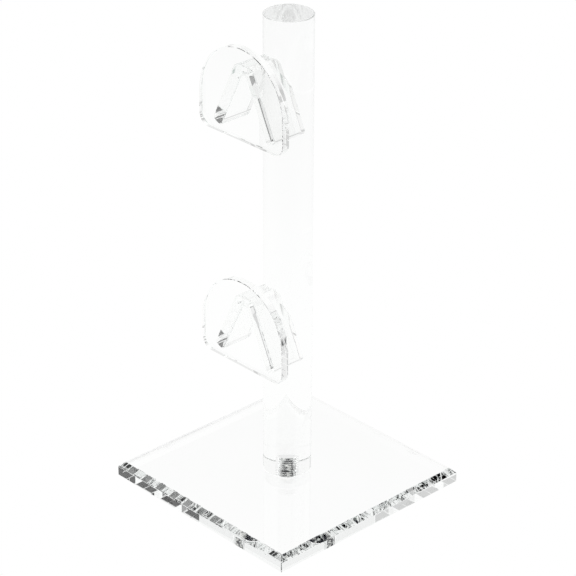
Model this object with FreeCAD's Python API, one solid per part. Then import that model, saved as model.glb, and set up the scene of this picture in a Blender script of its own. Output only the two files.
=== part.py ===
import FreeCAD, Part
import math
import os

# Two-tier eyeglasses display stand in clear acrylic. Millimetres, +Z up.
# Origin: centre of the base's underside. The front plates face -Y.

# Base plate: a square sheet with a 45 degree bevel along its top edges.
BASE_SIDE = 100.0
BASE_THICK = 6.4
BASE_BEVEL = 2.3

# Post: a solid rod that stands on the middle of the base.
POST_DIA = 20.0
POST_LENGTH = 200.0
POST_EDGE = 0.3

# Countersunk M6 screw that holds the post from below, and its holes.
SCREW_DIA = 5.9
SCREW_LENGTH = 12.0
SCREW_HEAD_DIA = 12.0
SCREW_RECESS = 0.3
SCREW_POINT = 0.8
SOCKET_SIDES = 6
SOCKET_ACROSS_FLATS = 4.0
SOCKET_DEPTH = 2.4
CLEARANCE_HOLE_DIA = 6.6
TAPPED_HOLE_DIA = 6.0
TAPPED_HOLE_DEPTH = 6.2

# Front plate: an upright D that keeps the glasses from sliding off the front.
PLATE_WIDTH = 47.2
PLATE_HEIGHT = 37.6
PLATE_THICK = 3.5
PLATE_CORNER = 5.0
PLATE_TO_POST = 11.7

# Saddle: a strip folded to an upturned V that carries the bridge of the glasses.
# Heights are above the front plate's lower edge; FOOT_X and FOOT_Z are the sharp outer corner.
STRIP_THICK = 5.3
LEG_ANGLE = 25.7
FOOT_X = 17.79
FOOT_Z = 3.7
FOOT_RADIUS = 1.8
CREST_Z = 30.2
CREST_RADIUS = 4.0
FOLD_RADIUS = 1.55

# Rear edge of the saddle: the legs run on past the post's sides, the crest butts against it.
LEG_REAR_Y = -7.3
CREST_REAR_Y = -9.4
NOTCH_LOW_Z = 19.5
NOTCH_HIGH_Z = 24.5

# Height of each front plate's lower edge above the underside of the base.
UPPER_HOLDER_Z = 160.9
LOWER_HOLDER_Z = 62.7

# Worked out from the sizes above.
POST_RADIUS = POST_DIA / 2
POST_TOP_Z = BASE_THICK + POST_LENGTH
PLATE_BACK_Y = -POST_RADIUS - PLATE_TO_POST
PLATE_FRONT_Y = PLATE_BACK_Y - PLATE_THICK
SCREW_HEAD_RADIUS = SCREW_HEAD_DIA / 2
UP = FreeCAD.Vector(0, 0, 1)
CUT_MARGIN = 1.0
SAME_POINT = 1e-6


def rounded_wire(corners, y):
    """Closed wire at depth y through (x, z, radius) corners, each blended by a tangent arc."""
    points = [FreeCAD.Vector(x, y, z) for x, z, radius in corners]
    blends = []
    for index, (x, z, radius) in enumerate(corners):
        point = points[index]
        back = (points[index - 1] - point).normalize()
        ahead = (points[(index + 1) % len(points)] - point).normalize()
        half_angle = back.getAngle(ahead) / 2
        inward = (back + ahead).normalize()
        reach = radius / math.tan(half_angle)
        middle = point + inward * (radius / math.sin(half_angle) - radius)
        blends.append((point + back * reach, middle, point + ahead * reach))
    edges = []
    for index, (start, middle, end) in enumerate(blends):
        if corners[index][2] > 0:
            edges.append(Part.Arc(start, middle, end).toShape())
        next_start = blends[(index + 1) % len(blends)][0]
        if not next_start.isEqual(end, SAME_POINT):
            edges.append(Part.LineSegment(end, next_start).toShape())
    return Part.Wire(edges)


def countersink(top_radius, z_low):
    """Solid 90 degree cone that narrows upwards from top_radius at z_low to the screw's shank."""
    shank_radius = SCREW_DIA / 2
    height = top_radius - shank_radius
    return Part.makeCone(top_radius, shank_radius, height, FreeCAD.Vector(0, 0, z_low), UP)


def base_plate():
    """Bevelled square plate with a countersunk hole in the middle of its underside."""
    corner = FreeCAD.Vector(-BASE_SIDE / 2, -BASE_SIDE / 2, 0)
    plate = Part.makeBox(BASE_SIDE, BASE_SIDE, BASE_THICK, corner)
    top_edges = [edge for edge in plate.Edges if edge.BoundBox.ZMin > BASE_THICK - CUT_MARGIN]
    plate = plate.makeChamfer(BASE_BEVEL, top_edges)
    below = FreeCAD.Vector(0, 0, -CUT_MARGIN)
    through = Part.makeCylinder(CLEARANCE_HOLE_DIA / 2, BASE_THICK + 2 * CUT_MARGIN, below, UP)
    recess = Part.makeCylinder(SCREW_HEAD_RADIUS, CUT_MARGIN + SCREW_RECESS, below, UP)
    return plate.cut(through).cut(recess).cut(countersink(SCREW_HEAD_RADIUS, SCREW_RECESS))


def post():
    """Solid rod with a fine chamfer at each end and a flat-bottomed tapped hole in its foot."""
    foot = FreeCAD.Vector(0, 0, BASE_THICK)
    rod = Part.makeCylinder(POST_RADIUS, POST_LENGTH, foot, UP)
    end_edges = [edge for edge in rod.Edges if edge.BoundBox.ZLength < CUT_MARGIN]
    rod = rod.makeChamfer(POST_EDGE, end_edges)
    return rod.cut(Part.makeCylinder(TAPPED_HOLE_DIA / 2, TAPPED_HOLE_DEPTH, foot, UP))


def post_screw():
    """Countersunk machine screw with a hexagon socket, its thread as a plain shank."""
    shank_radius = SCREW_DIA / 2
    head_base = FreeCAD.Vector(0, 0, SCREW_RECESS)
    shank_length = SCREW_LENGTH - SCREW_POINT
    shank = Part.makeCylinder(shank_radius, shank_length, head_base, UP)
    point_base = head_base + UP * shank_length
    point = Part.makeCone(shank_radius, shank_radius - SCREW_POINT, SCREW_POINT, point_base, UP)
    screw = countersink(SCREW_HEAD_RADIUS, SCREW_RECESS).fuse(shank).fuse(point)
    side_angle = 2 * math.pi / SOCKET_SIDES
    circumradius = SOCKET_ACROSS_FLATS / 2 / math.cos(side_angle / 2)
    angles = [side_angle * step for step in range(SOCKET_SIDES + 1)]
    hexagon = [FreeCAD.Vector(circumradius * math.cos(a), circumradius * math.sin(a), 0) for a in angles]
    socket = Part.Face(Part.makePolygon(hexagon)).extrude(UP * (SCREW_RECESS + SOCKET_DEPTH))
    return screw.cut(socket).removeSplitter()


def front_plate(holder_z):
    """Upright D plate whose lower edge is at holder_z."""
    half = PLATE_WIDTH / 2
    top = holder_z + PLATE_HEIGHT
    corners = [
        (-half, holder_z, PLATE_CORNER),
        (half, holder_z, PLATE_CORNER),
        (half, top, half),
        (-half, top, half),
    ]
    outline = rounded_wire(corners, PLATE_FRONT_Y)
    return Part.Face(outline).extrude(FreeCAD.Vector(0, PLATE_THICK, 0))


def saddle(holder_z):
    """Folded strip from the front plate to the post, notched and coped where the post stands."""
    angle = math.radians(LEG_ANGLE)
    foot_z = holder_z + FOOT_Z
    crest_z = holder_z + CREST_Z
    shoulder_x = FOOT_X - CREST_Z * math.tan(angle) + FOOT_Z * math.tan(angle)
    inner_foot_x = FOOT_X - STRIP_THICK * math.cos(angle)
    inner_foot_z = foot_z - STRIP_THICK * math.sin(angle)
    fold_z = inner_foot_z + inner_foot_x / math.tan(angle)
    corners = [
        (FOOT_X, foot_z, FOOT_RADIUS),
        (shoulder_x, crest_z, CREST_RADIUS),
        (-shoulder_x, crest_z, CREST_RADIUS),
        (-FOOT_X, foot_z, FOOT_RADIUS),
        (-inner_foot_x, inner_foot_z, FOOT_RADIUS),
        (0, fold_z, FOLD_RADIUS),
        (inner_foot_x, inner_foot_z, FOOT_RADIUS),
    ]
    outline = rounded_wire(corners, PLATE_BACK_Y)
    strip = Part.Face(outline).extrude(FreeCAD.Vector(0, LEG_REAR_Y - PLATE_BACK_Y, 0))
    return strip.cut(rear_notch(holder_z)).cut(post_space())


def rear_notch(holder_z):
    """Block taken out of the saddle's rear edge so that the crest stops at the post."""
    above = holder_z + CREST_Z + CUT_MARGIN
    behind = LEG_REAR_Y + CUT_MARGIN
    outline = [
        (CREST_REAR_Y, above),
        (CREST_REAR_Y, holder_z + NOTCH_HIGH_Z),
        (LEG_REAR_Y, holder_z + NOTCH_LOW_Z),
        (behind, holder_z + NOTCH_LOW_Z),
        (behind, above),
        (CREST_REAR_Y, above),
    ]
    points = [FreeCAD.Vector(-FOOT_X, y, z) for y, z in outline]
    return Part.Face(Part.makePolygon(points)).extrude(FreeCAD.Vector(2 * FOOT_X, 0, 0))


def post_space():
    """Cylinder that the post fills, for coping whatever meets the post."""
    return Part.makeCylinder(POST_RADIUS, POST_TOP_Z, FreeCAD.Vector(0, 0, 0), UP)


def build():
    """Every sub-part's solid by node name."""
    shapes = {"base_plate": base_plate(), "post": post(), "post_screw": post_screw()}
    for tier, holder_z in (("upper", UPPER_HOLDER_Z), ("lower", LOWER_HOLDER_Z)):
        shapes[tier + "_front_plate"] = front_plate(holder_z)
        shapes[tier + "_saddle"] = saddle(holder_z)
    return shapes


def write_parts(shapes):
    """Write one STEP file per node and print its size and volume."""
    os.makedirs("parts", exist_ok=True)
    for node, shape in shapes.items():
        solids = shape.Solids
        if len(solids) != 1 or not shape.isValid():
            raise ValueError(node + " is not one valid solid")
        solids[0].exportStep("parts/" + node + ".step")
        box = shape.BoundBox
        low = [round(value, 2) for value in (box.XMin, box.YMin, box.ZMin)]
        high = [round(value, 2) for value in (box.XMax, box.YMax, box.ZMax)]
        print(node, low, high, "volume", round(shape.Volume, 1))


write_parts(build())
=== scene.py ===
"""Looks of a two-tier eyeglasses display stand in clear acrylic, built round its CAD frame.

Everything is in metres in the CAD model's frame: +Z up, front plates facing -Y.
"""

import logging
import math
from dataclasses import dataclass, field
from enum import Enum
from typing import Sequence

import bmesh
import bpy
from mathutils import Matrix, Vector


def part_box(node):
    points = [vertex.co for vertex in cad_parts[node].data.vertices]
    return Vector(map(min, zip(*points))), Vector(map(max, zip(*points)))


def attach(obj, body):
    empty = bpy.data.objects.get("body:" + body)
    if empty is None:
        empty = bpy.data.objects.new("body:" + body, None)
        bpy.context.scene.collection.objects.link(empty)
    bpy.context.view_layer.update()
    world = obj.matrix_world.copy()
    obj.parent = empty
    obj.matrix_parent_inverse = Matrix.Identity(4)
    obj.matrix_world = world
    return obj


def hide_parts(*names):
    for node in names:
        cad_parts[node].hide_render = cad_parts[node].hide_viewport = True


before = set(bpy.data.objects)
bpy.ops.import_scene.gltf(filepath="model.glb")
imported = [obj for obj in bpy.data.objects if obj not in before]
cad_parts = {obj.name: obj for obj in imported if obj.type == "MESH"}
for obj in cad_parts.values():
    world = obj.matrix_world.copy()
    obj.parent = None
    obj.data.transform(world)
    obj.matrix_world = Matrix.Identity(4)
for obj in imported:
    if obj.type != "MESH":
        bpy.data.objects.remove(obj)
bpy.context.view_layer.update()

log = logging.getLogger("display_stand")

MM = 0.001
BODY = "root"

# Film of air between two dry pieces that touch.
AIR_GAP = 0.04 * MM
# Two points of an outline closer than this are one point.
SAME_POINT = 0.004 * MM
# Two corners of a cut mesh closer than this are welded.
WELD = 0.002 * MM
# A turn sharper than this between two faces is an edge, not a curve.
EDGE_ANGLE = math.radians(10)

Point = tuple[float, float]
Ring = list[Vector]
Colour = tuple[float, float, float, float]
Socket = bpy.types.NodeSocket
Value = float | Sequence[float] | Socket


# ---------------------------------------------------------------- finishes


@dataclass
class Wiring:
    """Short-hand for wiring up one node tree."""

    tree: bpy.types.NodeTree

    def node(self, kind: str, settings: dict[str, str] | None = None, **inputs: Value) -> bpy.types.Node:
        """Add a node.

        Args:
            kind: Blender's name for the node type.
            settings: attributes to set on the node.
            inputs: values or output sockets for the node's inputs; an underscore stands for a space.

        Returns:
            The new node.
        """
        node = self.tree.nodes.new(kind)
        for name, value in (settings or {}).items():
            setattr(node, name, value)
        for name, value in inputs.items():
            socket = node.inputs[name.replace("_", " ")]
            if isinstance(value, Socket):
                self.tree.links.new(value, socket)
            else:
                socket.default_value = value
        return node

    def maths(self, operation: str, *operands: float | Socket) -> Socket:
        """Add a maths node.

        Args:
            operation: Blender's name for the operation.
            operands: numbers or sockets, in the node's own order.

        Returns:
            The node's output socket.
        """
        node = self.tree.nodes.new("ShaderNodeMath")
        node.operation = operation
        for socket, value in zip(node.inputs, operands):
            if isinstance(value, Socket):
                self.tree.links.new(value, socket)
            else:
                socket.default_value = value
        return node.outputs[0]

    def blend(self, share: Socket, first: Colour, second: Colour) -> Socket:
        """Mix two colours.

        Args:
            share: socket with the second colour's share.
            first: colour at share 0.
            second: colour at share 1.

        Returns:
            The socket of the mixed colour.
        """
        mix = self.node("ShaderNodeMix", {"data_type": "RGBA"}, Factor=share)
        mix.inputs["A"].default_value = first
        mix.inputs["B"].default_value = second
        return mix.outputs["Result"]


@dataclass(frozen=True)
class AcrylicFinish:
    """How one kind of clear acrylic surface was left by its making.

    Attributes:
        name: what the surface is called.
        haze: roughness of its clearest and its dullest spots.
        ripple_depth: height of its waves.
        ripple_length: distance between its waves.
        grain: how far waves and marks are drawn out along x, y and z.
        mark_depth: height of its fine tool marks.
        mark_spacing: distance between its fine tool marks.
        frost: share of the surface that scatters light instead of letting it through.
    """

    name: str
    haze: tuple[float, float]
    ripple_depth: float
    ripple_length: float
    grain: tuple[float, float, float] = (1.0, 1.0, 1.0)
    mark_depth: float = 0.0
    mark_spacing: float = 0.5 * MM
    frost: float = 0.0

    REFRACTION = 1.49
    CLEAR = (1.0, 1.0, 1.0, 1.0)
    CLOUDY = (0.985, 0.99, 0.985, 1.0)
    DEPTH_COLOUR = (0.90, 0.95, 0.93, 1.0)
    DEPTH_DENSITY = 1.2
    WAVE_DETAIL = 1.0
    WAVE_ROUGHNESS = 0.4
    MARK_DETAIL = 3.0
    MARK_ROUGHNESS = 0.6
    # The share of tool marks at which the haze starts, and at which it is full.
    HAZE_FROM = 0.35
    HAZE_TO = 0.7

    def material(self) -> bpy.types.Material:
        """Make the material, or find it if an earlier piece made it.

        Returns:
            The material.
        """
        known = bpy.data.materials.get(self.name)
        if known:
            return known
        material = bpy.data.materials.new(self.name)
        material.use_nodes = True
        material.node_tree.nodes.clear()
        wiring = Wiring(material.node_tree)
        place = wiring.node("ShaderNodeTexCoord").outputs["Object"]
        drawn = wiring.node("ShaderNodeMapping", Vector=place, Scale=self.grain).outputs["Vector"]
        waves = wiring.node(
            "ShaderNodeTexNoise",
            Vector=drawn,
            Scale=1 / self.ripple_length,
            Detail=self.WAVE_DETAIL,
            Roughness=self.WAVE_ROUGHNESS,
        ).outputs["Fac"]
        marks = wiring.node(
            "ShaderNodeTexNoise",
            Vector=drawn,
            Scale=1 / self.mark_spacing,
            Detail=self.MARK_DETAIL,
            Roughness=self.MARK_ROUGHNESS,
        ).outputs["Fac"]
        haze = wiring.node(
            "ShaderNodeMapRange",
            Value=marks,
            From_Min=self.HAZE_FROM,
            From_Max=self.HAZE_TO,
            To_Min=self.haze[0],
            To_Max=self.haze[1],
        ).outputs["Result"]
        shader = wiring.node(
            "ShaderNodeBsdfPrincipled",
            Base_Color=wiring.blend(waves, self.CLEAR, self.CLOUDY),
            Roughness=haze,
            Normal=self.relief(wiring, waves, marks),
            IOR=self.REFRACTION,
            Transmission_Weight=1.0 - self.frost,
        )
        depth = wiring.node(
            "ShaderNodeVolumeAbsorption", Color=self.DEPTH_COLOUR, Density=self.DEPTH_DENSITY
        )
        wiring.node(
            "ShaderNodeOutputMaterial", Surface=shader.outputs["BSDF"], Volume=depth.outputs["Volume"]
        )
        return material

    def relief(self, wiring: Wiring, waves: Socket, marks: Socket) -> Socket:
        """Lay the fine tool marks over the waves.

        Args:
            wiring: the material's node tree.
            waves: socket with the height of the waves.
            marks: socket with the height of the tool marks.

        Returns:
            The socket of the surface's normal.
        """
        rippled = wiring.node("ShaderNodeBump", Height=waves, Distance=self.ripple_depth, Strength=1.0)
        marked = wiring.node(
            "ShaderNodeBump",
            Height=marks,
            Distance=self.mark_depth,
            Strength=1.0,
            Normal=rippled.outputs["Normal"],
        )
        return marked.outputs["Normal"]


class Acrylic(Enum):
    """The kinds of acrylic surface on the stand."""

    SHEET_FACE = AcrylicFinish(
        "acrylic_sheet_face",
        haze=(0.0, 0.004),
        ripple_depth=0.02 * MM,
        ripple_length=30 * MM,
    )
    SAWN_EDGE = AcrylicFinish(
        "acrylic_sawn_edge",
        haze=(0.0, 0.003),
        ripple_depth=0.004 * MM,
        ripple_length=9 * MM,
        grain=(1.0, 1.0, 0.4),
        mark_depth=0.00004 * MM,
        mark_spacing=0.5 * MM,
    )
    MILLED_BEVEL = AcrylicFinish(
        "acrylic_milled_bevel",
        haze=(0.0, 0.002),
        ripple_depth=0.002 * MM,
        ripple_length=12 * MM,
        mark_depth=0.00002 * MM,
        mark_spacing=0.4 * MM,
    )
    SAWN_END = AcrylicFinish(
        "acrylic_sawn_end",
        haze=(0.0, 0.04),
        ripple_depth=0.06 * MM,
        ripple_length=2.5 * MM,
        grain=(1.0, 0.3, 1.0),
        mark_depth=0.002 * MM,
        mark_spacing=0.6 * MM,
    )
    ROD_SIDE = AcrylicFinish(
        "acrylic_rod_side",
        haze=(0.0, 0.004),
        ripple_depth=0.02 * MM,
        ripple_length=12 * MM,
        grain=(1.0, 1.0, 0.1),
    )
    ROD_END = AcrylicFinish(
        "acrylic_rod_end",
        haze=(0.06, 0.12),
        ripple_depth=0.01 * MM,
        ripple_length=6 * MM,
        grain=(1.0, 0.15, 1.0),
        mark_depth=0.0001 * MM,
        mark_spacing=0.4 * MM,
        frost=0.7,
    )
    ROD_FOOT = AcrylicFinish(
        "acrylic_rod_foot",
        haze=(0.02, 0.07),
        ripple_depth=0.01 * MM,
        ripple_length=6 * MM,
        grain=(1.0, 0.15, 1.0),
        mark_depth=0.001 * MM,
        mark_spacing=0.4 * MM,
    )
    TAPPED = AcrylicFinish(
        "acrylic_tapped",
        haze=(0.0, 0.05),
        ripple_depth=0.01 * MM,
        ripple_length=2 * MM,
        mark_depth=0.001 * MM,
        mark_spacing=0.15 * MM,
    )
    FOLDED_STRIP = AcrylicFinish(
        "acrylic_folded_strip",
        haze=(0.0, 0.006),
        ripple_depth=0.03 * MM,
        ripple_length=9 * MM,
        grain=(1.0, 0.5, 1.0),
    )

    def material(self) -> bpy.types.Material:
        """Return the finish's material."""
        return self.value.material()


@dataclass(frozen=True)
class ZincSteel:
    """Zinc-plated steel of the post's screw, with fine turning marks and dull spots.

    Attributes:
        name: what the metal is called.
        bright: colour of its clean plating.
        dull: colour of its darkest spots.
        polish: roughness of its clean plating and of its darkest spots.
        spot_size: distance between its spots.
        spot_edge: noise levels between which a spot fades in.
        turning: how far its turning marks are drawn out along x, y and z.
        mark_spacing: distance between its turning marks.
        mark_depth: height of its turning marks.
    """

    name: str = "zinc_plated_steel"
    bright: Colour = (0.9, 0.9, 0.88, 1.0)
    dull: Colour = (0.04, 0.04, 0.05, 1.0)
    polish: tuple[float, float] = (0.08, 0.3)
    spot_size: float = 2.0 * MM
    spot_edge: tuple[float, float] = (0.42, 0.56)
    turning: tuple[float, float, float] = (0.2, 0.2, 1.0)
    mark_spacing: float = 0.12 * MM
    mark_depth: float = 0.004 * MM

    SPOT_DETAIL = 4.0

    def material(self) -> bpy.types.Material:
        """Make the plated steel.

        Returns:
            The material.
        """
        material = bpy.data.materials.new(self.name)
        material.use_nodes = True
        material.node_tree.nodes.clear()
        wiring = Wiring(material.node_tree)
        place = wiring.node("ShaderNodeTexCoord").outputs["Object"]
        cloud = wiring.node(
            "ShaderNodeTexNoise", Vector=place, Scale=1 / self.spot_size, Detail=self.SPOT_DETAIL
        ).outputs["Fac"]
        spots = wiring.node(
            "ShaderNodeMapRange", Value=cloud, From_Min=self.spot_edge[0], From_Max=self.spot_edge[1]
        ).outputs["Result"]
        turned = wiring.node("ShaderNodeMapping", Vector=place, Scale=self.turning).outputs["Vector"]
        marks = wiring.node("ShaderNodeTexNoise", Vector=turned, Scale=1 / self.mark_spacing).outputs["Fac"]
        bump = wiring.node("ShaderNodeBump", Height=marks, Distance=self.mark_depth, Strength=1.0)
        polish = wiring.node("ShaderNodeMapRange", Value=spots, To_Min=self.polish[0], To_Max=self.polish[1])
        shader = wiring.node(
            "ShaderNodeBsdfPrincipled",
            Base_Color=wiring.blend(spots, self.bright, self.dull),
            Roughness=polish.outputs["Result"],
            Normal=bump.outputs["Normal"],
            Metallic=1.0,
        )
        wiring.node("ShaderNodeOutputMaterial", Surface=shader.outputs["BSDF"])
        return material


# ---------------------------------------------------------------- shaping


@dataclass(frozen=True)
class Corner:
    """One corner of an outline, rounded to a radius."""

    x: float
    z: float
    radius: float


def rounded_outline(corners: Sequence[Corner], step: float = math.radians(3)) -> list[Point]:
    """Go round an outline whose corners are blended by tangent arcs.

    Args:
        corners: the sharp outline's corners, in order.
        step: largest turn between two points of an arc.

    Returns:
        The outline's points, with no point twice.
    """
    points: list[Point] = []
    for index, corner in enumerate(corners):
        here = Vector((corner.x, corner.z))
        last = corners[index - 1]
        following = corners[(index + 1) % len(corners)]
        back = (Vector((last.x, last.z)) - here).normalized()
        ahead = (Vector((following.x, following.z)) - here).normalized()
        half_angle = back.angle(ahead) / 2
        centre = here + (back + ahead).normalized() * (corner.radius / math.sin(half_angle))
        first = here + back * (corner.radius / math.tan(half_angle)) - centre
        turn = math.pi - 2 * half_angle
        sense = 1.0 if back.cross(ahead) < 0 else -1.0
        count = max(2, math.ceil(turn / step))
        for number in range(count + 1):
            angle = sense * turn * number / count
            cosine, sine = math.cos(angle), math.sin(angle)
            x = centre.x + first.x * cosine - first.y * sine
            z = centre.y + first.x * sine + first.y * cosine
            points.append((x, z))
    return without_repeats(points)


def without_repeats(points: Sequence[Point]) -> list[Point]:
    """Drop each point that repeats the one before it.

    Args:
        points: a closed outline's points, in order.

    Returns:
        The points that are left.
    """
    kept = []
    for index, point in enumerate(points):
        step = Vector(point) - Vector(points[index - 1])
        if step.length > SAME_POINT:
            kept.append(point)
    return kept


def inset(outline: Sequence[Point], distance: float) -> list[Point]:
    """Shrink an outline that runs counter-clockwise by moving each side inwards.

    Args:
        outline: the outline's points.
        distance: how far each side moves.

    Returns:
        The smaller outline, point for point.
    """
    moved = []
    for index, point in enumerate(outline):
        here = Vector(point)
        into = (here - Vector(outline[index - 1])).normalized()
        out = (Vector(outline[(index + 1) % len(outline)]) - here).normalized()
        normal_in, normal_out = Vector((-into.y, into.x)), Vector((-out.y, out.x))
        shift = (normal_in + normal_out) / (1 + normal_in.dot(normal_out)) * distance
        moved.append((here.x + shift.x, here.y + shift.y))
    return moved


def circle(radius: float, z: float, count: int) -> Ring:
    """Ring of points on a circle about the Z axis."""
    return polygon(radius, z, count, 0)


def polygon(reach: float, z: float, count: int, sides: int) -> Ring:
    """Ring of points on a regular polygon about the Z axis.

    Args:
        reach: distance from the axis to the middle of a side, or a circle's radius.
        z: height of the ring.
        count: number of points, a multiple of twice the sides.
        sides: number of sides; 0 makes a circle.

    Returns:
        The ring.
    """
    ring = []
    for index in range(count):
        angle = 2 * math.pi * index / count
        radius = reach
        if sides:
            pitch = 2 * math.pi / sides
            radius = reach / math.cos((angle + pitch / 2) % pitch - pitch / 2)
        ring.append(Vector((radius * math.cos(angle), radius * math.sin(angle), z)))
    return ring


class Ends(Enum):
    """What closes a skin at its first and last ring."""

    CAPPED = "a flat face at each end"
    JOINED = "the last ring runs on into the first"


@dataclass
class Skin:
    """Closed surface laid through rings that have the same number of points.

    Attributes:
        name: the piece's name.
        ends: what closes the surface.
        rings: the rings, in order.
        bands: for each ring, the number of the finish on the band that follows it.
        caps: finish number of the end faces.
    """

    name: str
    ends: Ends = Ends.CAPPED
    rings: list[Ring] = field(default_factory=list)
    bands: list[int] = field(default_factory=list)
    caps: int = 0

    def add(self, ring: Ring, band: int = 0) -> None:
        """Add a ring, and the finish number of the band after it."""
        self.rings.append(ring)
        self.bands.append(band)

    def build(self, finishes: Sequence[bpy.types.Material]) -> bpy.types.Object:
        """Lay the surface.

        Args:
            finishes: the piece's materials, by finish number.

        Returns:
            The piece, linked to the scene.
        """
        work = bmesh.new()
        laid = [[work.verts.new(point) for point in ring] for ring in self.rings]
        count = len(self.rings)
        last = count if self.ends is Ends.JOINED else count - 1
        for number in range(last):
            near, far = laid[number], laid[(number + 1) % count]
            for index in range(len(near)):
                following = (index + 1) % len(near)
                face = work.faces.new((near[index], near[following], far[following], far[index]))
                face.material_index = self.bands[number]
        if self.ends is Ends.CAPPED:
            for ring in (laid[0], laid[-1]):
                work.faces.new(ring).material_index = self.caps
        return finished(work, self.name, finishes)


def finished(work: bmesh.types.BMesh, name: str, finishes: Sequence[bpy.types.Material]) -> bpy.types.Object:
    """Turn a finished bmesh into a piece with outward faces, smooth curves and sharp edges.

    Args:
        work: the bmesh, which is freed.
        name: the piece's name.
        finishes: the piece's materials.

    Returns:
        The piece, linked to the scene.
    """
    for face in work.faces:
        face.smooth = True
    mark_edges(work)
    mesh = bpy.data.meshes.new(name)
    work.to_mesh(mesh)
    work.free()
    for finish in finishes:
        mesh.materials.append(finish)
    piece = bpy.data.objects.new(name, mesh)
    bpy.context.scene.collection.objects.link(piece)
    return piece


def mark_edges(work: bmesh.types.BMesh) -> None:
    """Turn all faces outwards, and mark each edge as sharp or as part of a curve.

    Args:
        work: the bmesh.
    """
    bmesh.ops.recalc_face_normals(work, faces=work.faces)
    for edge in work.edges:
        edge.smooth = edge.is_manifold and edge.calc_face_angle() < EDGE_ANGLE


def fit(piece: bpy.types.Object, node: str) -> bpy.types.Object:
    """Put a piece in the place of its CAD node.

    Args:
        piece: the piece, already where the node is.
        node: the CAD node that it stands for.

    Returns:
        The piece.
    """
    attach(piece, BODY)
    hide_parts(node)
    return piece


# ---------------------------------------------------------------- pieces


@dataclass
class Thread:
    """Right-hand screw thread about the Z axis, as a rounded wave."""

    pitch: float = 1.0 * MM
    depth: float = 0.55 * MM
    steps_per_turn: int = 30

    def ring(self, outer_radius: float, z: float, count: int) -> Ring:
        """Ring across the thread.

        Args:
            outer_radius: radius over the thread's crests.
            z: height of the ring.
            count: number of points.

        Returns:
            The ring.
        """
        ring = []
        for index in range(count):
            angle = 2 * math.pi * index / count
            wave = 0.5 - 0.5 * math.cos(2 * math.pi * z / self.pitch - angle)
            radius = outer_radius - self.depth * wave
            ring.append(Vector((radius * math.cos(angle), radius * math.sin(angle), z)))
        return ring

    def heights(self, low: float, high: float) -> list[float]:
        """Space out the rings of a thread.

        Args:
            low: height where the thread starts.
            high: height where it ends.

        Returns:
            The heights of its rings.
        """
        count = max(2, round((high - low) / self.pitch * self.steps_per_turn))
        return [low + (high - low) * index / count for index in range(count + 1)]


@dataclass
class BasePlate:
    """Square foot of the stand, with a bevelled rim and a countersunk hole."""

    node: str = "base_plate"
    bevel: float = 2.3 * MM
    corner_ease: float = 0.25 * MM
    edge_ease: float = 0.12 * MM
    hole_radius: float = 3.3 * MM
    recess_radius: float = 6.0 * MM
    recess_depth: float = 0.3 * MM
    points_per_side: int = 40

    def square(self, half: float, z: float) -> Ring:
        """Ring of a square whose corners are cut off by the corner's ease.

        Args:
            half: half the square's side.
            z: height of the ring.

        Returns:
            The ring.
        """
        reach = half - self.corner_ease
        last = self.points_per_side - 1
        spots = [reach * (2 * number / last - 1) for number in range(self.points_per_side)]
        ring = []
        for cosine, sine in ((1, 0), (0, 1), (-1, 0), (0, -1)):
            ring += [Vector((half * cosine - s * sine, half * sine + s * cosine, z)) for s in spots]
        return ring

    def hole(self, radius: float, z: float, half: float) -> Ring:
        """Ring of the hole, with one point facing each point of the plate's outline.

        Args:
            radius: the hole's radius.
            z: height of the ring.
            half: half the plate's side.

        Returns:
            The ring.
        """
        height = Vector((0, 0, z))
        return [Vector((p.x, p.y, 0)).normalized() * radius + height for p in self.square(half, z)]

    def build(self) -> bpy.types.Object:
        """Build the plate from the hole's rim over the top, down the sides and back up the hole.

        Returns:
            The plate.
        """
        low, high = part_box(self.node)
        half, top = high.x, high.z
        ease, slope = self.edge_ease, self.edge_ease * math.cos(math.pi / 4)
        cone_top = self.recess_depth + self.recess_radius - self.hole_radius
        face, sawn, milled, drilled = range(4)
        skin = Skin(self.node + "_piece", Ends.JOINED)
        skin.add(self.hole(self.hole_radius + ease, top, half), face)
        skin.add(self.square(half - self.bevel - ease, top), milled)
        skin.add(self.square(half - self.bevel + slope, top - slope), milled)
        skin.add(self.square(half - slope, top - self.bevel + slope), milled)
        skin.add(self.square(half, top - self.bevel - ease), sawn)
        skin.add(self.square(half, low.z + ease), sawn)
        skin.add(self.square(half - ease, low.z), face)
        skin.add(self.hole(self.recess_radius, low.z, half), drilled)
        skin.add(self.hole(self.recess_radius, low.z + self.recess_depth, half), drilled)
        skin.add(self.hole(self.hole_radius, low.z + cone_top, half), drilled)
        skin.add(self.hole(self.hole_radius, top - ease, half), drilled)
        finishes = [Acrylic.SHEET_FACE, Acrylic.SAWN_EDGE, Acrylic.MILLED_BEVEL, Acrylic.TAPPED]
        piece = skin.build([finish.material() for finish in finishes])
        return fit(piece, self.node)


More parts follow.
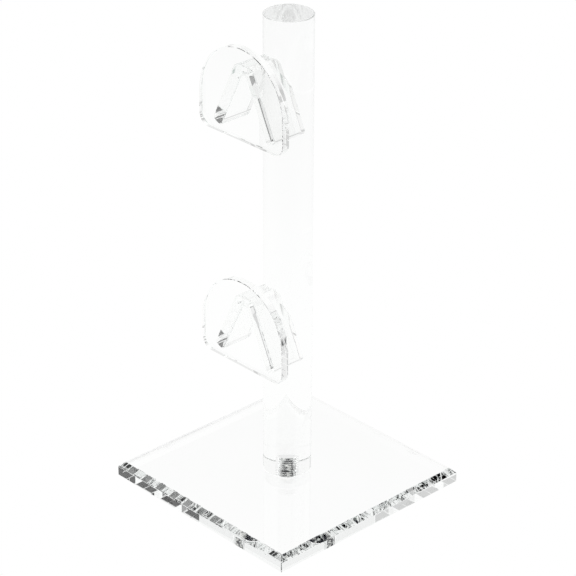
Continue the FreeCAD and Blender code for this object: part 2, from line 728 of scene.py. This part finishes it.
@dataclass
class Post:
    """Solid round rod with a tapped hole in its foot."""

    node: str = "post"
    end_ease: float = 0.3 * MM
    hole_depth: float = 6.2 * MM
    hole_radius: float = 3.0 * MM
    hole_centre: float = 0.04 * MM
    thread: Thread = field(default_factory=Thread)
    count: int = 192

    def build(self) -> bpy.types.Object:
        """Build the rod from its hole's floor down the thread, over the foot and up the side.

        Returns:
            The rod.
        """
        low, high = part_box(self.node)
        radius, foot, top = high.x, low.z + AIR_GAP, high.z
        side, end, tapped, sawn = range(4)
        hole_floor = low.z + self.hole_depth
        skin = Skin(self.node + "_piece", caps=end)
        skin.add(circle(self.hole_centre, hole_floor, self.count), tapped)
        skin.add(circle(self.hole_radius - self.thread.depth, hole_floor, self.count), tapped)
        for z in reversed(self.thread.heights(foot, hole_floor - self.end_ease)):
            skin.add(self.thread.ring(self.hole_radius, z, self.count), tapped)
        skin.bands[-1] = sawn
        skin.add(circle(radius - self.end_ease, foot, self.count), end)
        skin.add(circle(radius, foot + self.end_ease, self.count), side)
        skin.add(circle(radius, top - self.end_ease, self.count), end)
        skin.add(circle(radius - self.end_ease, top, self.count), end)
        finishes = [Acrylic.ROD_SIDE, Acrylic.ROD_END, Acrylic.TAPPED, Acrylic.ROD_FOOT]
        piece = skin.build([finish.material() for finish in finishes])
        return fit(piece, self.node)


@dataclass
class PostScrew:
    """Countersunk screw with a hexagon socket that holds the post from below."""

    node: str = "post_screw"
    radius: float = 2.95 * MM
    point_chamfer: float = 0.8 * MM
    rim: float = 0.15 * MM
    socket_reach: float = 2.0 * MM
    socket_depth: float = 2.4 * MM
    socket_tip: float = 0.5 * MM
    socket_tip_radius: float = 0.5 * MM
    socket_rim: float = 2.4 * MM
    socket_sides: int = 6
    thread: Thread = field(default_factory=Thread)
    count: int = 96

    def build(self) -> bpy.types.Object:
        """Build the screw from its socket out over the head and up the thread.

        Returns:
            The screw.
        """
        low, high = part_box(self.node)
        head = high.x - 2 * AIR_GAP
        neck_z = low.z + high.x - self.radius
        socket_z = low.z + self.socket_depth
        skin = Skin(self.node + "_piece")
        skin.add(circle(self.socket_tip_radius, socket_z + self.socket_tip, self.count))
        skin.add(polygon(self.socket_reach, socket_z, self.count, self.socket_sides))
        skin.add(polygon(self.socket_reach, low.z + self.rim, self.count, self.socket_sides))
        skin.add(circle(self.socket_rim, low.z, self.count))
        skin.add(circle(head - self.rim, low.z, self.count))
        skin.add(circle(head, low.z + self.rim, self.count))
        skin.add(circle(self.radius - AIR_GAP, neck_z, self.count))
        shank_top = high.z - self.point_chamfer
        for z in self.thread.heights(neck_z + self.thread.pitch / 2, shank_top):
            skin.add(self.thread.ring(self.radius - AIR_GAP, z, self.count))
        skin.add(circle(self.radius - self.point_chamfer, high.z, self.count))
        piece = skin.build([ZincSteel().material()])
        return fit(piece, self.node)


class Tier(Enum):
    """The two holders, by their place on the post."""

    UPPER = "upper"
    LOWER = "lower"


@dataclass
class Holder:
    """One holder for glasses: an upright front plate with a folded saddle behind it."""

    tier: Tier
    plate_corner: float = 5.0 * MM
    plate_ease: float = 0.2 * MM
    strip: float = 5.3 * MM
    leg_angle: float = math.radians(25.7)
    crest_radius: float = 4.0 * MM
    fold_radius: float = 1.55 * MM
    foot_radius: float = 1.8 * MM
    foot_share: float = 0.95
    strip_round: float = 0.5 * MM
    round_steps: int = 4
    crest_rear: float = -9.4 * MM
    notch_low: float = 19.5 * MM
    notch_high: float = 24.5 * MM
    cutter_count: int = 192

    @property
    def plate_node(self) -> str:
        """Name of the front plate's CAD node."""
        return self.tier.value + "_front_plate"

    @property
    def saddle_node(self) -> str:
        """Name of the saddle's CAD node."""
        return self.tier.value + "_saddle"

    def build(self) -> list[bpy.types.Object]:
        """Build the holder's two pieces."""
        return [self.front_plate(), self.saddle()]

    def front_plate(self) -> bpy.types.Object:
        """Build the D plate, with the edge of each face eased.

        Returns:
            The plate.
        """
        low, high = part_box(self.plate_node)
        half = (high.x - low.x) / 2
        outline = rounded_outline(
            [
                Corner(low.x, low.z, self.plate_corner),
                Corner(high.x, low.z, self.plate_corner),
                Corner(high.x, high.z, half),
                Corner(low.x, high.z, half),
            ]
        )
        ease = self.plate_ease
        stations = ((low.y, ease), (low.y + ease, 0.0), (high.y - ease, 0.0), (high.y, ease))
        finishes = [Acrylic.SHEET_FACE.material(), Acrylic.SAWN_EDGE.material()]
        piece = self.extruded(self.plate_node, outline, stations).build(finishes)
        return fit(piece, self.plate_node)

    def extruded(self, node: str, outline: list[Point], stations: Sequence[Point]) -> Skin:
        """Skin of an outline drawn out along Y.

        Args:
            node: the CAD node that the piece stands for.
            outline: counter-clockwise outline seen along +Y.
            stations: for each ring, its Y and how far its outline is moved inwards.

        Returns:
            The skin, its end faces finish 0 and its sides finish 1.
        """
        face, side = range(2)
        skin = Skin(node + "_piece", caps=face)
        for y, shrink in stations:
            ring = inset(outline, shrink) if shrink else outline
            skin.add([Vector((x, y, z)) for x, z in ring], side)
        return skin

    def saddle(self) -> bpy.types.Object:
        """Build the folded strip and cut its rear edge to the post.

        Returns:
            The saddle.
        """
        low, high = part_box(self.saddle_node)
        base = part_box(self.plate_node)[0].z
        cosine, sine, slope = math.cos(self.leg_angle), math.sin(self.leg_angle), math.tan(self.leg_angle)
        rounded_off = self.foot_radius * (cosine + sine - 1)
        half, bottom = high.x + rounded_off, low.z - rounded_off
        foot_z = bottom + self.strip * sine
        shoulder = half - (high.z - foot_z) * slope
        inner = half - self.strip * cosine
        fold_z = bottom + inner / slope
        outline = rounded_outline(
            [
                Corner(inner, bottom, self.foot_radius),
                Corner(half, foot_z, self.foot_radius),
                Corner(shoulder, high.z, self.crest_radius),
                Corner(-shoulder, high.z, self.crest_radius),
                Corner(-half, foot_z, self.foot_radius),
                Corner(-inner, bottom, self.foot_radius),
                Corner(0.0, fold_z, self.fold_radius),
            ]
        )
        stations = self.rounded_stations(low.y + AIR_GAP, high.y)
        finishes = [Acrylic.SAWN_EDGE, Acrylic.FOLDED_STRIP, Acrylic.SAWN_END]
        skin = self.extruded(self.saddle_node, outline, stations)
        piece = skin.build([finish.material() for finish in finishes])
        for face in piece.data.polygons:
            looks_down = face.normal.z < -self.foot_share * cosine
            if looks_down and abs(face.center.x) > inner - self.foot_radius:
                face.material_index = finishes.index(Acrylic.SAWN_END)
        self.cut(piece, self.notch(base, half, high), self.cope(low, high))
        return fit(piece, self.saddle_node)

    def rounded_stations(self, front: float, rear: float) -> list[Point]:
        """Stations of a strip whose end edges are rounded.

        Args:
            front: Y of the strip's front face.
            rear: Y of the strip's rear face.

        Returns:
            The stations, from front to rear.
        """
        leading, trailing = [], []
        for step in range(self.round_steps + 1):
            angle = math.pi / 2 * step / self.round_steps
            reach = self.strip_round * (1 - math.cos(angle))
            shrink = self.strip_round * (1 - math.sin(angle))
            leading.append((front + reach, shrink))
            trailing.append((rear - reach, shrink))
        return leading + trailing[::-1]

    def notch(self, base: float, half: float, high: Vector) -> bpy.types.Object:
        """Block that stops the crest at the post.

        Args:
            base: height of the front plate's lower edge.
            half: half the saddle's width.
            high: highest corner of the saddle's box.

        Returns:
            The cutter.
        """
        margin = self.strip
        outline = [
            (self.crest_rear, base + self.notch_high),
            (high.y, base + self.notch_low),
            (high.y + margin, base + self.notch_low),
            (high.y + margin, high.z + margin),
            (self.crest_rear, high.z + margin),
        ]
        skin = Skin("notch_cutter")
        for x in (-half - margin, half + margin):
            skin.add([Vector((x, y, z)) for y, z in outline])
        return skin.build([Acrylic.SAWN_EDGE.material()])

    def cope(self, low: Vector, high: Vector) -> bpy.types.Object:
        """Cylinder a hair wider than the post, over the saddle's height.

        Args:
            low: lowest corner of the saddle's box.
            high: highest corner of the saddle's box.

        Returns:
            The cutter.
        """
        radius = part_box("post")[1].x + AIR_GAP
        skin = Skin("cope_cutter")
        for z in (low.z - self.strip, high.z + self.strip):
            skin.add(circle(radius, z, self.cutter_count))
        return skin.build([Acrylic.SAWN_EDGE.material()])

    def cut(self, piece: bpy.types.Object, *cutters: bpy.types.Object) -> None:
        """Take the cutters out of a piece and throw them away.

        Args:
            piece: the piece, whose mesh is replaced.
            cutters: solids to take out of it.
        """
        for cutter in cutters:
            modifier = piece.modifiers.new(cutter.name, "BOOLEAN")
            modifier.operation = "DIFFERENCE"
            modifier.solver = "EXACT"
            modifier.object = cutter
        depsgraph = bpy.context.evaluated_depsgraph_get()
        mesh = bpy.data.meshes.new_from_object(piece.evaluated_get(depsgraph))
        piece.modifiers.clear()
        work = bmesh.new()
        work.from_mesh(mesh)
        bmesh.ops.remove_doubles(work, verts=work.verts, dist=WELD)
        mark_edges(work)
        work.to_mesh(piece.data)
        work.free()
        bpy.data.meshes.remove(mesh)
        for cutter in cutters:
            bpy.data.objects.remove(cutter)


# ---------------------------------------------------------------- studio


@dataclass(frozen=True)
class Panel:
    """Panel in the studio, dark or bright, that stands against the tent and draws the acrylic's edges.

    Attributes:
        azimuth: compass direction of its middle from +X towards +Y, in degrees.
        elevation: height of its middle above the horizon, in degrees.
        width: its width, in degrees.
        height: its height, in degrees.
        light: how bright it is.
        softness: width of its blurred rim, in degrees.
    """

    azimuth: float
    elevation: float
    width: float
    height: float
    light: float
    softness: float


@dataclass(frozen=True)
class LightTable:
    """Pale floor lit from below, bright round the stand and dimmer further off.

    Attributes:
        centre: middle of the bright part.
        bright: light of the bright part.
        dim: light of the floor beyond it.
        bright_radius: distance at which the light starts to fall.
        dim_radius: distance at which it has fallen.
        half_side: half the floor's side.
        drop: how far the floor lies under the base.
    """

    centre: tuple[float, float, float] = (-0.25, 0.25, 0.0)
    bright: float = 1.0
    dim: float = 0.62
    bright_radius: float = 0.45
    dim_radius: float = 0.75
    half_side: float = 4.0
    drop: float = 0.15 * MM

    def build(self) -> None:
        """Lay the floor just under the base."""
        work = bmesh.new()
        bmesh.ops.create_grid(work, x_segments=1, y_segments=1, size=self.half_side)
        for vert in work.verts:
            vert.co.z = -self.drop
        mesh = bpy.data.meshes.new("floor")
        work.to_mesh(mesh)
        work.free()
        mesh.materials.append(self.material())
        floor = bpy.data.objects.new("floor", mesh)
        bpy.context.scene.collection.objects.link(floor)

    def material(self) -> bpy.types.Material:
        """Make the glowing surface.

        Returns:
            The material.
        """
        material = bpy.data.materials.new("pale_floor")
        material.use_nodes = True
        material.node_tree.nodes.clear()
        wiring = Wiring(material.node_tree)
        place = wiring.node("ShaderNodeTexCoord").outputs["Object"]
        offset = wiring.node("ShaderNodeVectorMath", {"operation": "DISTANCE"})
        material.node_tree.links.new(place, offset.inputs[0])
        offset.inputs[1].default_value = self.centre
        glow = wiring.node(
            "ShaderNodeMapRange",
            {"interpolation_type": "SMOOTHSTEP"},
            Value=offset.outputs["Value"],
            From_Min=self.bright_radius,
            From_Max=self.dim_radius,
            To_Min=self.bright,
            To_Max=self.dim,
        )
        emission = wiring.node("ShaderNodeEmission", Strength=glow.outputs["Result"])
        wiring.node("ShaderNodeOutputMaterial", Surface=emission.outputs["Emission"])
        return material


@dataclass
class Studio:
    """White tent with dark and bright panels round the stand, over a light table.

    Attributes:
        panels: the panels, each over the ones before it.
        tent_light: light of the bare tent.
        backdrop: light of the backdrop that the camera sees behind the stand.
        bounces: how often light may turn inside the acrylic.
    """

    panels: Sequence[Panel]
    tent_light: float = 0.95
    backdrop: float = 1.0
    bounces: int = 64

    def build(self) -> None:
        """Lay the floor, light the tent and set how the picture is developed."""
        LightTable().build()
        self.light_tent()
        scene = bpy.context.scene
        scene.view_settings.view_transform = "Standard"
        scene.cycles.max_bounces = self.bounces
        scene.cycles.transmission_bounces = self.bounces
        scene.cycles.glossy_bounces = self.bounces
        scene.cycles.sample_clamp_indirect = 0.0
        scene.cycles.blur_glossy = 0.0
        scene.cycles.use_denoising = True

    def light_tent(self) -> None:
        """Make the tent's light, with the panels in it, and a plain backdrop for the camera."""
        world = bpy.data.worlds.new("white_tent")
        world.use_nodes = True
        world.node_tree.nodes.clear()
        wiring = Wiring(world.node_tree)
        direction = wiring.node("ShaderNodeTexCoord").outputs["Generated"]
        parts = wiring.node("ShaderNodeSeparateXYZ", Vector=direction).outputs
        azimuth = wiring.maths("ARCTAN2", parts["Y"], parts["X"])
        elevation = wiring.maths("ARCSINE", parts["Z"])
        light: Socket | float = self.tent_light
        for panel in self.panels:
            covered = self.cover(wiring, panel, azimuth, elevation)
            light = wiring.node(
                "ShaderNodeMix", {"data_type": "FLOAT"}, Factor=covered, A=light, B=panel.light
            ).outputs["Result"]
        straight = wiring.node("ShaderNodeLightPath").outputs["Is Camera Ray"]
        seen = wiring.node(
            "ShaderNodeMix", {"data_type": "FLOAT"}, Factor=straight, A=light, B=self.backdrop
        )
        background = wiring.node("ShaderNodeBackground", Strength=seen.outputs["Result"])
        background.inputs["Color"].default_value = (1.0, 1.0, 1.0, 1.0)
        wiring.node("ShaderNodeOutputWorld", Surface=background.outputs["Background"])
        bpy.context.scene.world = world

    def cover(self, wiring: Wiring, panel: Panel, azimuth: Socket, elevation: Socket) -> Socket:
        """How much of a panel covers a direction.

        Args:
            wiring: the world's node tree.
            panel: the panel.
            azimuth: socket with the direction's azimuth, in radians.
            elevation: socket with the direction's elevation, in radians.

        Returns:
            Socket with the share, from 0 to 1.
        """
        shares = []
        for angle, middle, extent in (
            (azimuth, panel.azimuth, panel.width),
            (elevation, panel.elevation, panel.height),
        ):
            offset = wiring.maths("SUBTRACT", angle, math.radians(middle))
            wrapped = wiring.maths("WRAP", offset, math.pi, -math.pi)
            beyond = wiring.maths("SUBTRACT", wiring.maths("ABSOLUTE", wrapped), math.radians(extent / 2))
            shares.append(
                wiring.node(
                    "ShaderNodeMapRange",
                    {"interpolation_type": "SMOOTHSTEP"},
                    Value=beyond,
                    From_Min=-math.radians(panel.softness / 2),
                    From_Max=math.radians(panel.softness / 2),
                    To_Min=1.0,
                    To_Max=0.0,
                ).outputs["Result"]
            )
        return wiring.maths("MULTIPLY", *shares)


@dataclass
class Camera:
    """Long-lens camera to the right of the stand's front, a little above it.

    Attributes:
        azimuth: how far it stands round from straight in front.
        elevation: how far it looks down.
        roll: how far it is turned about its own line of sight.
        distance: how far back it stands.
        rise: how far it is shifted up its own picture.
        drift: how far it is shifted to the right of its own picture.
        lens: focal length, in millimetres.
        sensor: width of its sensor, in millimetres.
        clip_ratio: how many times nearer and farther than the stand it sees.
    """

    azimuth: float = math.radians(46.677)
    elevation: float = math.radians(27.203)
    roll: float = math.radians(0.223)
    distance: float = 1.0132
    rise: float = 0.07924
    drift: float = 0.00040
    lens: float = 151.57
    sensor: float = 36.0
    clip_ratio: float = 100.0

    def build(self) -> None:
        """Set up the scene's camera."""
        cos_a, sin_a = math.cos(self.azimuth), math.sin(self.azimuth)
        cos_e, sin_e = math.cos(self.elevation), math.sin(self.elevation)
        back = Vector((sin_a * cos_e, -cos_a * cos_e, sin_e))
        level = Vector((cos_a, sin_a, 0.0))
        upright = back.cross(level)
        cos_r, sin_r = math.cos(self.roll), math.sin(self.roll)
        right = cos_r * level + sin_r * upright
        up = cos_r * upright - sin_r * level
        data = bpy.data.cameras.new("camera")
        data.lens = self.lens
        data.sensor_width = self.sensor
        data.clip_start = self.distance / self.clip_ratio
        data.clip_end = self.distance * self.clip_ratio
        camera = bpy.data.objects.new("camera", data)
        bpy.context.scene.collection.objects.link(camera)
        spot = right * self.drift + up * self.rise + back * self.distance
        for column, axis in enumerate((right, up, back, spot)):
            for row in range(3):
                camera.matrix_world[row][column] = axis[row]
        bpy.context.scene.camera = camera


# The tent's panels: a bright top, dark ones low between +X and +Y, greyer ones elsewhere.
PANELS = (
    Panel(azimuth=0, elevation=90, width=360, height=66, light=1.3, softness=10),
    Panel(azimuth=205, elevation=75, width=70, height=50, light=0.6, softness=15),
    Panel(azimuth=345, elevation=44, width=16, height=40, light=0.3, softness=5),
    Panel(azimuth=280, elevation=38, width=16, height=14, light=0.15, softness=5),
    Panel(azimuth=222, elevation=26, width=32, height=28, light=0.62, softness=5),
    Panel(azimuth=135, elevation=25, width=36, height=18, light=0.84, softness=8),
    Panel(azimuth=107, elevation=57, width=40, height=20, light=1.15, softness=6),
    Panel(azimuth=26, elevation=29, width=50, height=28, light=0.03, softness=5),
    Panel(azimuth=50, elevation=43, width=28, height=18, light=0.02, softness=4),
    Panel(azimuth=77, elevation=13, width=44, height=20, light=0.02, softness=4),
    Panel(azimuth=42, elevation=7, width=28, height=22, light=0.85, softness=4),
)


def main() -> None:
    """Build the stand, its studio and its camera, and log each piece's face count."""
    logging.basicConfig(level=logging.INFO, format="%(name)s: %(message)s")
    Camera().build()
    Studio(PANELS).build()
    pieces = [BasePlate().build(), Post().build(), PostScrew().build()]
    for tier in Tier:
        pieces += Holder(tier).build()
    for piece in pieces:
        log.info("%s: %d faces", piece.name, len(piece.data.polygons))


if __name__ == "__main__":
    main()
